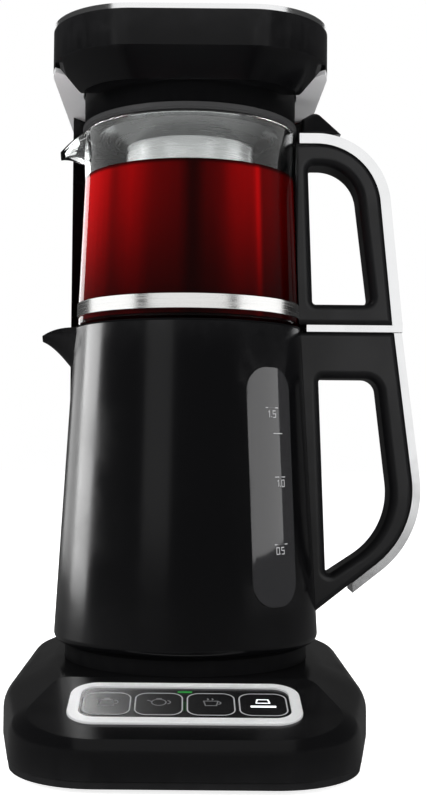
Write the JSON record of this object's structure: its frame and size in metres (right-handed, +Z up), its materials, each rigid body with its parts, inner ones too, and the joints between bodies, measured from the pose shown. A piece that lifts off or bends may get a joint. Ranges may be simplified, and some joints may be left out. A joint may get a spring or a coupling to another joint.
{
  "type": "automatic tea maker",
  "caption": "Automatic tea maker: a kettle on a base station with key panel, a glass teapot with filter on top, and a dripping head on a rear tower.",
  "frame": {"origin": "on the plane that the feet stand on, under the middle of the whole footprint", "axes": "+Z up, -Y to the front where the control panel is, +X to the handle side"},
  "size_m": [0.2254, 0.2644, 0.3774],
  "materials": {
    "gloss_black": "high gloss moulded plastic",
    "satin_black": "satin moulded plastic",
    "dark_inner": "plain moulded plastic",
    "pale_grey": "satin light grey plastic",
    "bright_trim": "bright plated",
    "steel": "fine brushed stainless steel",
    "pot_glass": "clear borosilicate",
    "window_clear": "smoked clear plastic",
    "seal_grey": "soft silicone",
    "foot_rubber": "soft rubber",
    "panel_gloss": "polished panel",
    "light_green": "clear light pipe",
    "board_green": "circuit board",
    "contact_brass": "plated contact parts",
    "hose_white": "silicone hose",
    "screw_steel": "zinc plated"
  },
  "bodies": {
    "base": {"base_cover": "gloss_black", "base_tray": "satin_black", "rubber_feet": "foot_rubber", "base_screws": "screw_steel", "dock_plate": "satin_black", "dock_connector": "dark_inner", "dock_nozzle": "dark_inner", "dock_seal": "seal_grey", "panel_bezel": "bright_trim", "panel_plate": "panel_gloss", "ready_light": "light_green", "key_board": "board_green", "power_board": "board_green", "cord_gland": "satin_black", "pump_housing": "dark_inner", "pump_motor": "screw_steel", "feed_tube": "hose_white", "riser_tube": "hose_white", "water_elbow": "dark_inner", "tower_front": "gloss_black", "tower_back": "gloss_black", "tower_screws": "screw_steel", "head_shell": "gloss_black", "head_floor": "pale_grey", "head_trim": "bright_trim", "head_cover": "gloss_black"},
    "brew_cover": {"cover_drum": "satin_black", "cover_seal": "seal_grey", "spray_plate": "steel"},
    "kettle": {"kettle_shell": "gloss_black", "kettle_collar": "satin_black", "kettle_spout": "gloss_black", "gauge_window": "window_clear", "kettle_handle": "satin_black", "kettle_trim": "bright_trim", "kettle_screws": "screw_steel", "kettle_foot": "satin_black", "kettle_connector": "contact_brass", "heater_plate": "steel", "heater_coil": "steel", "thermostat": "dark_inner", "valve_seat": "dark_inner"},
    "valve": {"valve_stem": "seal_grey"},
    "teapot": {"teapot_glass": "pot_glass", "teapot_band": "steel", "teapot_handle": "satin_black", "teapot_trim": "bright_trim", "thumb_rest": "satin_black", "teapot_screw": "screw_steel", "filter_basket": "steel"},
    "boil_button": {"boil_key": "panel_gloss"},
    "tea_button": {"tea_key": "panel_gloss"},
    "coffee_button": {"coffee_key": "panel_gloss"},
    "warm_button": {"warm_key": "panel_gloss"},
    "pump_wheel": {"pump_rotor": "dark_inner"}
  },
  "joints": [
    {"name": "kettle_lift", "type": "slide", "parent": "base", "child": "kettle", "axis": [0, 0, 1], "range_m": [0, 0.006]},
    {"name": "brew_cover_float", "type": "slide", "parent": "base", "child": "brew_cover", "axis": [0, 0, 1], "range_m": [0, 0.006]},
    {"name": "valve_close", "type": "slide", "parent": "kettle", "child": "valve", "axis": [0, 0, 1], "range_m": [-0.003, 0]},
    {"name": "teapot_draw", "type": "slide", "parent": "kettle", "child": "teapot", "axis": [0, -1, 0], "range_m": [0, 0.16]},
    {"name": "boil_press", "type": "slide", "parent": "base", "child": "boil_button", "axis": [0, 0.2079, -0.9781], "range_m": [0, 0.0008], "stiffness_N_per_m": 300, "springref_m": -0.001},
    {"name": "tea_press", "type": "slide", "parent": "base", "child": "tea_button", "axis": [0, 0.2079, -0.9781], "range_m": [0, 0.0008], "stiffness_N_per_m": 300, "springref_m": -0.001},
    {"name": "coffee_press", "type": "slide", "parent": "base", "child": "coffee_button", "axis": [0, 0.2079, -0.9781], "range_m": [0, 0.0008], "stiffness_N_per_m": 300, "springref_m": -0.001},
    {"name": "warm_press", "type": "slide", "parent": "base", "child": "warm_button", "axis": [0, 0.2079, -0.9781], "range_m": [0, 0.0008], "stiffness_N_per_m": 300, "springref_m": -0.001},
    {"name": "pump_spin", "type": "hinge", "parent": "base", "child": "pump_wheel", "pos_m": [0.02831, 0.08725, 0.0195], "axis": [0, 1, 0], "continuous": true}
  ],
  "couplings": [
    {"joint": "brew_cover_float", "follows": "kettle_lift", "ratio": 1},
    {"joint": "valve_close", "follows": "kettle_lift", "ratio": -0.5}
  ]
}
